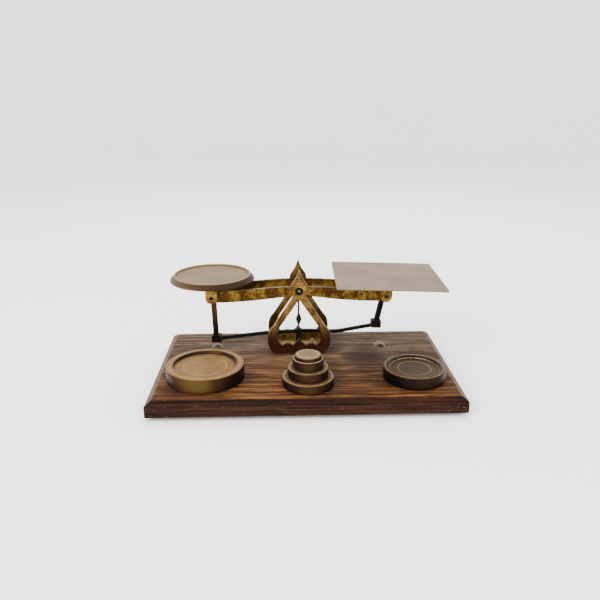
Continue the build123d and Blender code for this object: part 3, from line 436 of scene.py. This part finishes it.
# ---------------------------------------------------------------- iron links
# The legs, the stay below the beam, its post and the pendant pointer are blackened
# iron. The left leg carries a painted brassy brown reflection that fades to black
# towards the knuckle, and the pointer is browned all over.
def black_iron_finish(name, brown_layer=None, fade=(-1.0, 0.0)):
    """Forged iron, slightly rusty; a brown layer covers it above fade's heights in metres: a
    browned skin on the pointer, a painted reflection on the left leg.
    """
    iron, place = new_finish(name)
    rust = place.placed().noise(260.0, 5.0, 0.65)
    pits = place.placed().noise(1500.0, 3.0, 0.6)
    colour = rust.within(0.45, 0.7).blend((0.0045, 0.0030, 0.0022), (0.013, 0.0062, 0.0036))
    if brown_layer:
        climb = (place.axis("Z") + (rust - 0.5) * 14 * MM).within(*fade)
        thin_layer = tuple(part * 0.4 for part in brown_layer)
        colour = (climb * 0.92).blend(colour, rust.blend(brown_layer, thin_layer))
    colour = (rubbed_edges(place, 0.4 * MM) * 0.3).blend(colour, (0.04, 0.022, 0.012))
    surface(place, colour, 0.45 + rust * 0.25, 0.1, rust + pits, 0.10, 0.07)
    return iron


black_iron = black_iron_finish("blackened_iron")
dress(black_iron, "leg_right", "stay", "stay_post")
leg_low, leg_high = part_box("leg_left")
knuckle_fade = (leg_low.z + 14 * MM, leg_low.z + 46 * MM)
# The left leg's brassy brown is a painted reflection that fades to black towards the knuckle.
left_leg_iron = black_iron_finish("leg_iron_with_painted_reflection", (0.085, 0.040, 0.011), knuckle_fade)
dress(left_leg_iron, "leg_left")

low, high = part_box("pointer")
pointer_top = (high.z - low.z) / MM
pendant = [(0, pointer_top), (1.1, pointer_top), (1.1, pointer_top - 4.0)]
pendant += [(1.0, pointer_top - 5.0), (0.95, 13.9), (1.3, 12.9), (1.9, 11.4), (2.6, 9.6)]
pendant += [(3.05, 8.1), (3.05, 7.2), (2.6, 5.9), (1.9, 4.3), (1.3, 2.8), (0.9, 1.5)]
pendant += [(0.45, 0.4), (0, 0)]
pointer_foot = Vector(((low.x + high.x) / 2, (low.y + high.y) / 2, low.z))
brown_iron = black_iron_finish("browned_pointer_iron", (0.036, 0.015, 0.006))
bm = spun(pendant, [pointer_foot], 40)
finished("pendant_pointer", bm, "beam", brown_iron, ["pointer"])


# ---------------------------------------------------------------- pans
# On the left a spun round pan with a rolled lip and a sloping skirt, on the right a
# square plate for letters, both of thin sheet brass rubbed to a dull pinkish satin.
# The plate sits a little out of square and out of level, and droops at its corners.
PAN_LATHE_MARKS = 5200.0


def satin_sheet(name, centre, pale, warm, shade):
    """Colour of sheet brass rubbed dull, with faint stains."""
    sheet, place = new_finish(name)
    spot = place.placed(centre)
    cloud = spot.noise(28.0, 5.0, 0.6, 0.3)
    stains = spot.noise(130.0, 5.0, 0.65).within(0.58, 0.74)
    colour = cloud.within(0.35, 0.68).blend(pale, warm)
    colour = (stains * 0.3).blend(colour, shade)
    return sheet, place, spot, cloud, colour


low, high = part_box("weights_pan")
pan_centre = Vector(((low.x + high.x) / 2, (low.y + high.y) / 2, low.z))
round_pan, place, spot, cloud, colour = satin_sheet(
    "round_pan_brass", pan_centre, (0.150, 0.097, 0.044), (0.118, 0.075, 0.033),
    (0.055, 0.034, 0.016))
radius = from_axis(spot)
lit_side = facing(place, (-0.95, -0.3, 0)).within(0.35, 0.95)
skirt = lit_side.blend((0.024, 0.012, 0.004), (0.090, 0.062, 0.030))
colour = radius.within(38.5 * MM, 39.6 * MM).blend(colour, skirt)
# Painted shade: a dark ring where the pan's floor meets the inner wall of the lip.
colour = (radius.ring(36.9 * MM, 0.7 * MM) * 0.5).blend(colour, (0.045, 0.027, 0.014))
# Painted highlight: a pale ring along the crest of the lip.
colour = (radius.ring(38.1 * MM, 0.8 * MM) * 0.8).blend(colour, (0.40, 0.28, 0.15))
marks = (radius * PAN_LATHE_MARKS).sine() * 0.3 + spot.noise(900.0) * 0.5
surface(place, colour, 0.44 + cloud * 0.16, 0.5, marks, 0.03, 0.12)
pan_outline = [(0, 1.5), (36.4, 1.5), (38.0, 3.6), (40.9, 0.6), (41.5, 0.05), (42.2, 0.0)]
pan_outline += [(42.65, 0.35), (42.6, 1.0), (42.0, 1.9), (41.2, 2.9), (40.1, 4.2)]
pan_outline += [(39.3, 5.2), (38.9, 5.75), (38.4, 5.98), (37.9, 5.85), (37.3, 5.2)]
pan_outline += [(36.9, 4.4), (36.4, 3.9), (35.6, 3.72), (0, 3.7)]
bm = spun(pan_outline, [pan_centre], 144)
pan_nodes = ["weights_pan", "pan_rivets_left"]
finished("round_pan", bm, "left_carrier", round_pan, pan_nodes)

PLATE = Vector((108.0, 102.0, 1.3)) * MM
PLATE_TILT = radians(1.5)
PLATE_SLEW = radians(-1.4)
PLATE_DROOP = 0.22 * MM
PLATE_SHEET = PLATE.z - 0.25 * MM
PLATE_CORNER = 2.6 * MM
low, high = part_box("letter_plate")
plate_centre = (low + high) / 2
plate_brass, place, spot, cloud, colour = satin_sheet(
    "letter_plate_brass", plate_centre, (0.158, 0.108, 0.064), (0.128, 0.087, 0.050),
    (0.080, 0.053, 0.030))
brushed = spot.placed(stretch=(25, 1600, 1600)).noise(1.0, 3.0, 0.6)
colour = (brushed.within(0.35, 0.7) * 0.2).blend(colour, (0.115, 0.081, 0.050))
colour = (rubbed_edges(place, 0.5 * MM) * 0.25).blend(colour, (0.36, 0.26, 0.17))
marks = brushed * 0.6 + spot.noise(900.0) * 0.4
surface(place, colour, 0.44 + cloud * 0.16, 0.5, marks, 0.03, 0.12)


def at_plate_corner(vert):
    return abs(vert.co.x) > PLATE.x * 0.49 and abs(vert.co.y) > PLATE.y * 0.49


bm = bmesh.new()
bmesh.ops.create_grid(bm, x_segments=12, y_segments=12, size=0.5)
bmesh.ops.scale(bm, vec=(PLATE.x, PLATE.y, 1.0), verts=bm.verts)
for vert in bm.verts:
    to_corner = abs(vert.co.x / PLATE.x * 2) ** 3 * abs(vert.co.y / PLATE.y * 2) ** 3
    vert.co.z -= PLATE_DROOP * to_corner
risen = raised(bmesh.ops.extrude_face_region(bm, geom=bm.faces[:]))
bmesh.ops.translate(bm, vec=(0, 0, PLATE_SHEET), verts=risen)
upright = [edge for edge in bm.edges if all(at_plate_corner(vert) for vert in edge.verts)]
bmesh.ops.bevel(bm, geom=upright, offset=PLATE_CORNER, segments=5, profile=0.5,
                affect="EDGES", material=-1)
bmesh.ops.translate(bm, vec=(0, 0, PLATE_DROOP - PLATE.z / 2), verts=bm.verts)
turned = Matrix.Rotation(PLATE_TILT, 4, "Y") @ Matrix.Rotation(PLATE_SLEW, 4, "Z")
bmesh.ops.transform(bm, matrix=Matrix.Translation(plate_centre) @ turned, verts=bm.verts)
bmesh.ops.recalc_face_normals(bm, faces=bm.faces)
plate_nodes = ["letter_plate", "pan_rivets_right"]
plate = finished("letter_tray", bm, "right_carrier", plate_brass, plate_nodes)
soften(plate, 0.28 * MM, 2, 35)


# ---------------------------------------------------------------- disc weights
# Brass discs turned on a lathe, each with a bevelled rim. The two large ones stand
# alone and are dished on top, with scribed rings; the four small ones are stacked, and
# have a hollow underneath. The tops are tan; the sides are painted dark brown as
# shade, with one painted highlight each; the scribed rings and rims carry pale lines
# that are partly painted highlight, and the back of each dish has painted shade.
LATHE_MARKS = 8200.0
SCRIBED_RING_HIGHLIGHT = (0.50, 0.35, 0.19)


def weight_finish(name, centre, tones, highlight_x, rings, dish_radius):
    """Bronze: satin top with pale scribed rings that are partly painted highlight, a side painted
    dark as shade with one painted highlight, and painted shade in the back of the dish.
    """
    top, side, glow, shade = tones
    bronze, place = new_finish(name)
    spot = place.placed(centre)
    radius = from_axis(spot)
    # The sides are painted darker than the tops, as shade.
    upward = facing(place, (0, 0, 1)).within(0.25, 0.85)
    cloud = spot.noise(75.0, 5.0, 0.6, 0.4)
    specks = spot.noise(700.0, 4.0, 0.65)
    turning = (radius * LATHE_MARKS).sine()
    # Painted highlight on the side that faces the front, a little to one side for each weight; the
    # rest of the side fades into painted shade.
    to_highlight = facing(place, Vector((highlight_x, -1, 0)).normalized()) + (cloud - 0.5) * 0.16
    side_tone = to_highlight.within(0.55, 0.88).blend(shade, side)
    side_tone = (to_highlight.within(0.86, 0.99) * 0.9).blend(side_tone, glow)
    top_tone = (cloud.within(0.35, 0.7) * 0.3).blend(top, side)
    top_tone = (turning.within(0.1, 1.0) * 0.10).blend(top_tone, shade)
    if dish_radius:
        # Painted shade: a dark crescent at the foot of the dish wall, at the back of the dish.
        at_back = spot.axis("Y").within(-0.5 * dish_radius * MM, 0.7 * dish_radius * MM)
        dish_corner = radius.ring(dish_radius * MM, 2.6 * MM) * at_back
        top_tone = (dish_corner * 0.9).blend(top_tone, shade)
    colour = upward.blend(side_tone, top_tone)
    colour = (specks.within(0.6, 0.7) * 0.3).blend(colour, shade)
    # Pale lines on the scribed rings, the rims and the edges: partly scribed and rubbed metal,
    # partly painted highlight.
    bright = rubbed_edges(place, 0.35 * MM) * 0.4
    for ring_radius, width in rings:
        bright = bright.larger(radius.ring(ring_radius * MM, width * MM) * upward)
    bright = bright * specks.within(0.30, 0.60)
    colour = (bright * 0.75).blend(colour, SCRIBED_RING_HIGHLIGHT)
    gloss = 0.32 + specks * 0.12 + cloud * 0.1 - bright * 0.1
    surface(place, colour, gloss, 0.45, turning * 0.3 + specks * 0.5, 0.05, 0.05)
    return bronze


def disc_weight(node, body, outline, tones, highlight_x, rings, dish_radius=0):
    """One turned weight. Rings are (radius, half width) in mm."""
    low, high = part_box(node)
    centre = Vector(((low.x + high.x) / 2, (low.y + high.y) / 2, low.z))
    bronze = weight_finish(f"handled_{node}", centre, tones, highlight_x, rings, dish_radius)
    bm = spun(outline, [centre], 128)
    disc = finished(f"turned_{node}", bm, body, bronze, [node])
    soften(disc, 0.22 * MM, 2, 24)


# Tones of each weight: its top, its side painted dark as shade, its painted highlight
# and its painted shade.
POUND_TONES = ((0.212, 0.114, 0.034), (0.027, 0.0098, 0.0033),
               (0.062, 0.036, 0.0090), (0.0095, 0.005, 0.004))
HALF_POUND_TONES = ((0.038, 0.0170, 0.0032), (0.0085, 0.0040, 0.0027),
                    (0.0150, 0.0068, 0.0030), (0.004, 0.003, 0.003))
STACK_SIDE = ((0.014, 0.0058, 0.0025), (0.027, 0.0135, 0.0042), (0.0095, 0.005, 0.004))

pound = [(0, 0), (35.9, 0), (36.6, 0.8), (36.6, 13.1), (36.3, 13.8), (35.5, 14.2)]
pound += [(33.5, 14.2), (33.2, 13.95), (32.8, 13.95), (32.5, 14.2), (30.2, 14.2)]
pound += [(29.7, 13.9), (29.3, 12.7), (28.7, 11.85), (28.2, 11.8), (20.6, 11.8)]
pound += [(20.4, 11.65), (20.2, 11.65), (20.0, 11.8), (0, 11.8)]
disc_weight("weight_16oz", "pound_weight", pound, POUND_TONES, -0.22,
            [(33.0, 0.45), (20.3, 0.35)], 29.0)

half_pound = [(0, 0), (28.6, 0), (29.3, 0.8), (29.3, 10.3), (29.0, 11.0), (28.2, 11.4)]
half_pound += [(27.8, 11.4), (27.55, 11.15), (27.2, 11.15), (26.9, 11.4), (24.1, 11.4)]
half_pound += [(23.6, 11.1), (23.2, 9.9), (22.7, 9.35), (22.2, 9.3), (15.6, 9.3)]
half_pound += [(15.45, 9.18), (15.3, 9.18), (15.1, 9.3), (0, 9.3)]
disc_weight("weight_8oz", "half_pound_weight", half_pound, HALF_POUND_TONES, 0.25,
            [(27.4, 0.45), (22.9, 0.4), (15.4, 0.3)], 23.2)

four_ounce = [(0, 3.3), (14, 3.3), (14, 0), (23.3, 0), (24, 0.8), (24, 7.3), (23.6, 8.2)]
four_ounce += [(22.8, 8.6), (22.3, 8.6), (22.0, 8.35), (21.6, 8.35), (21.3, 8.6), (0, 8.6)]
disc_weight("weight_4oz", "four_ounce_weight", four_ounce,
            ((0.110, 0.062, 0.024), *STACK_SIDE), -0.05, [(22.4, 0.6)])

two_ounce = [(0, 5.6), (14, 5.6), (14, 0), (18.4, 0), (19, 0.7), (19, 7.8), (18.6, 8.6)]
two_ounce += [(17.9, 9.0), (0, 9.0)]
disc_weight("weight_2oz", "two_ounce_weight", two_ounce,
            ((0.095, 0.055, 0.022), *STACK_SIDE), 0.05, [(17.6, 0.4)])

ounce = [(0, 5.2), (10, 5.2), (10, 0), (13.7, 0), (14.3, 0.7), (14.3, 7.7), (14.0, 8.4)]
ounce += [(13.3, 8.8), (12.8, 8.8), (12.5, 8.6), (12.2, 7.4), (0, 7.4)]
disc_weight("weight_1oz", "one_ounce_weight", ounce,
            ((0.105, 0.061, 0.026), *STACK_SIDE), 0.0, [(13.4, 0.35)])

half_ounce = [(0, 2.4), (8, 2.4), (8, 0), (11.4, 0), (12.1, 0.7), (12.1, 3.6), (11.8, 4.3)]
half_ounce += [(11.0, 4.7), (0, 4.7)]
disc_weight("weight_half_oz", "half_ounce_weight", half_ounce,
            ((0.160, 0.102, 0.050), *STACK_SIDE), 0.0, [(9.7, 0.7)])


# ---------------------------------------------------------------- floor and light
# A pale seamless studio floor that curves up all round, a broad soft light from the
# front left, a weaker one from the right, one above, and a strip behind that lines
# the edges.
pale, place = new_finish("pale_floor")
colour = place.noise(3.0).within(0.2, 0.8).blend((0.95, 0.95, 0.95), (0.97, 0.97, 0.97))
surface(place, colour, 0.9, specular=0.0, glow=0.14)
sweep_outline = [(0, 0), (1600, 0), (1900, 45), (2150, 180), (2320, 400), (2400, 700)]
sweep_outline += [(2400, 2600)]
bm = spun(sweep_outline, [(0, 0, 0)], 96)
bmesh.ops.reverse_faces(bm, faces=bm.faces)
studio_floor = smooth_object("studio_floor", bm, pale)

world = bpy.data.worlds.new("studio_air")
world.use_nodes = True
air = world.node_tree.nodes["Background"]
air.inputs["Color"].default_value = (0.93, 0.96, 1.0, 1.0)
air.inputs["Strength"].default_value = 1.5
bpy.context.scene.world = world


def soft_light(name, at, towards, size, power, tint=(1.0, 1.0, 1.0)):
    """A rectangular softbox; places and sizes in metres, power in watts."""
    lamp = bpy.data.lights.new(name, "AREA")
    lamp.shape = "RECTANGLE"
    lamp.size, lamp.size_y = size
    lamp.energy = power
    lamp.color = tint
    box = bpy.data.objects.new(name, lamp)
    box.location = at
    box.rotation_euler = (Vector(towards) - Vector(at)).to_track_quat("-Z", "Y").to_euler()
    bpy.context.scene.collection.objects.link(box)


soft_light("key_softbox", (-0.75, -0.85, 0.95), (0, 0, 0.04), (0.7, 0.5), 26.0, (1.0, 0.97, 0.92))
soft_light("fill_softbox", (1.1, -0.7, 0.7), (0, 0, 0.05), (0.8, 0.8), 4.0, (0.94, 0.97, 1.0))
soft_light("back_strip", (0.2, 1.0, 0.9), (0, 0, 0.05), (1.2, 0.3), 8.0)
soft_light("top_softbox", (0, 0.1, 1.5), (0, 0, 0), (1.2, 1.2), 16.0)


# ---------------------------------------------------------------- camera
# Standing in front of the scale, a little to its left, looking down on the board.
CAMERA_AT = Vector((-21.5, -579.2, 277.6)) * MM
SENSOR_WIDTH = 36.0
LENS = 37.698
camera_data = bpy.data.cameras.new("camera")
camera_data.sensor_width = SENSOR_WIDTH
camera_data.lens = LENS
camera_data.clip_start = 0.01
camera = bpy.data.objects.new("camera", camera_data)
yaw, pitch, roll = radians(1.72), radians(-18.49), radians(-0.11)
ahead = Vector((sin(yaw) * cos(pitch), cos(yaw) * cos(pitch), sin(pitch)))
aim = ahead.to_track_quat("-Z", "Y").to_matrix().to_4x4() @ Matrix.Rotation(roll, 4, "Z")
camera.matrix_world = Matrix.Translation(CAMERA_AT) @ aim
bpy.context.scene.collection.objects.link(camera)
bpy.context.scene.camera = camera
